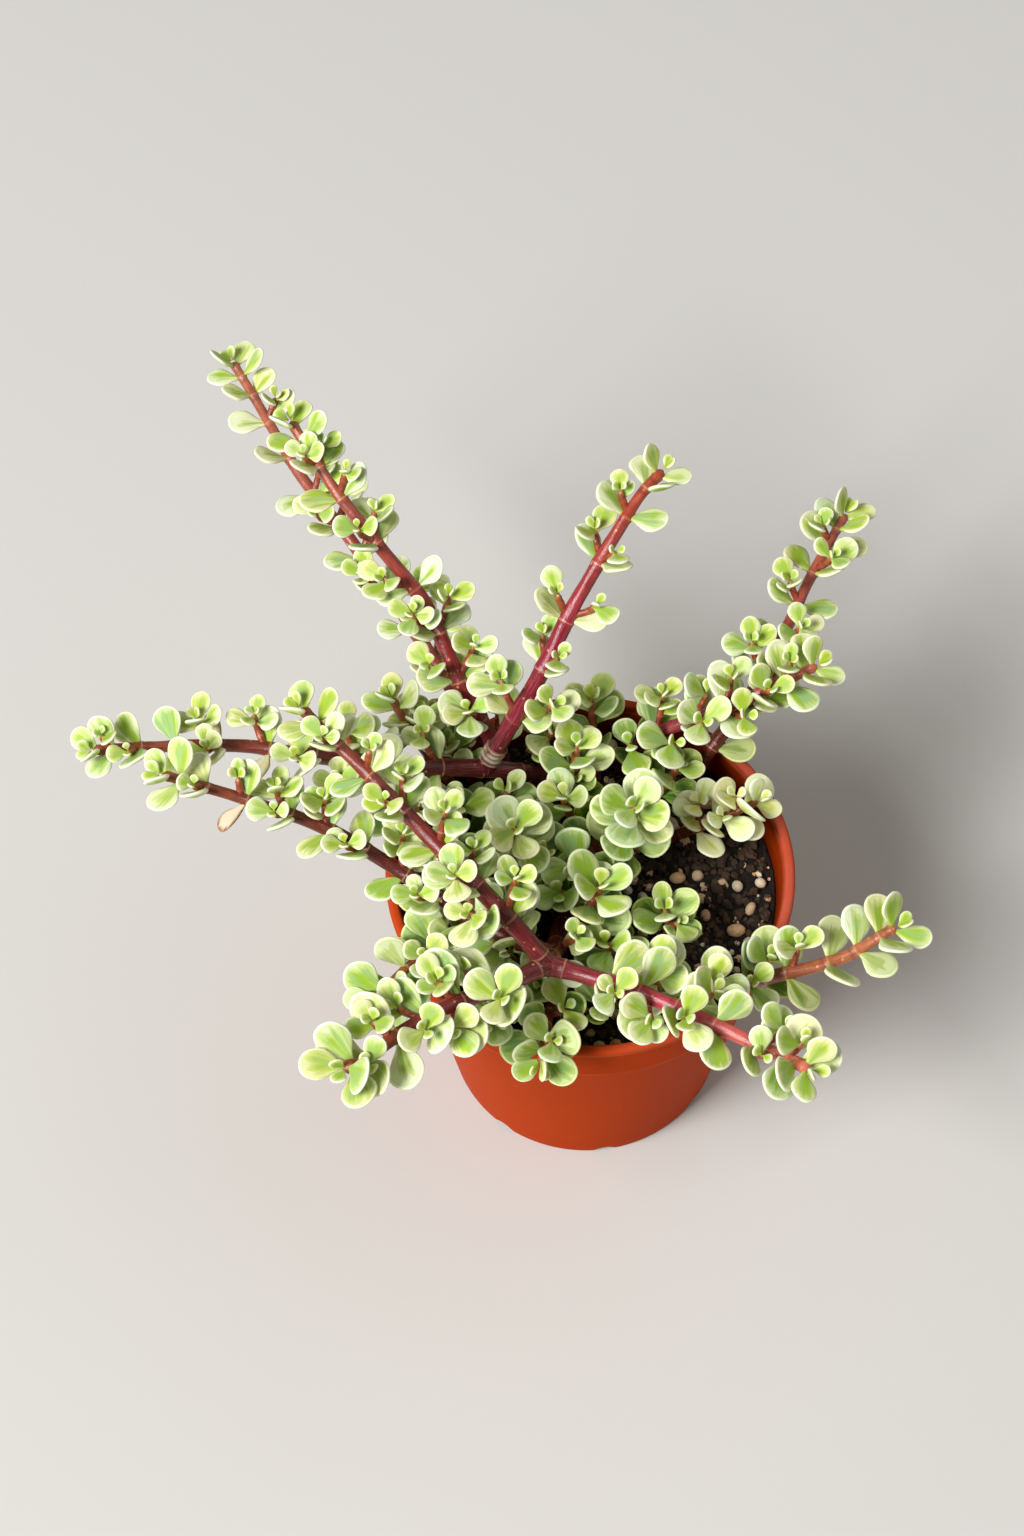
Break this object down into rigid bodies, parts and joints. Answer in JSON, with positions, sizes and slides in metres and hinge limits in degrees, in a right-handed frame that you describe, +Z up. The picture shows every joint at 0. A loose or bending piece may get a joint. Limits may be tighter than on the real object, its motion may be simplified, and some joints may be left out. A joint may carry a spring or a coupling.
{
  "type": "potted elephant bush",
  "caption": "Variegated elephant bush with arching red-purple stems and plump round cream-edged leaves, growing in a round tapered plastic nursery pot.",
  "frame": {"origin": "centre of the pot's flat underside", "axes": "+Z up along the pot's axis; +X to the right and -Y towards the viewer, where the lowest stems lean out past the lip"},
  "size_m": [0.2459, 0.2526, 0.1956],
  "materials": {
    "pot": "satin terracotta-coloured polypropylene",
    "soil": "damp crumbly potting mix with pale grit",
    "leaf": "plump satin leaves, green with a cream margin",
    "cream_leaf": "plump satin leaves, nearly all cream",
    "stem": "smooth red-purple succulent stem, lighter and redder near its tips"
  },
  "bodies": {
    "root": {"pot": "pot", "soil": "soil", "stem_far_left": "leaf", "stem_back_left": "leaf", "stem_front": "leaf", "stem_right": "leaf", "stem_back_right_low": "leaf", "stem_back_right": "leaf", "shoot_cream": "cream_leaf", "shoot_centre_right": "leaf", "shoot_centre_left": "leaf", "shoot_centre_front": "leaf", "shoot_centre": "leaf", "shoot_back": "leaf", "shoot_back_right": "leaf", "shoot_right": "leaf", "shoot_front_right": "leaf", "shoot_front_far_right": "leaf", "shoot_over_lip": "leaf", "shoot_front_left": "leaf", "shoot_left": "leaf", "shoot_middle": "leaf", "shoot_middle_left": "leaf", "shoot_middle_front": "leaf", "shoot_middle_right": "leaf", "shoot_behind_middle": "leaf", "shoot_far_left": "leaf", "shoot_back_left": "leaf", "shoot_low_left": "leaf", "shoot_behind_right": "leaf", "shoot_mid_back": "leaf", "shoot_front": "leaf", "shoot_gap_left": "leaf", "shoot_gap_back": "leaf", "shoot_back_middle": "leaf", "shoot_centre_back": "leaf", "shoot_lip_left": "leaf"}
  },
  "joints": []
}
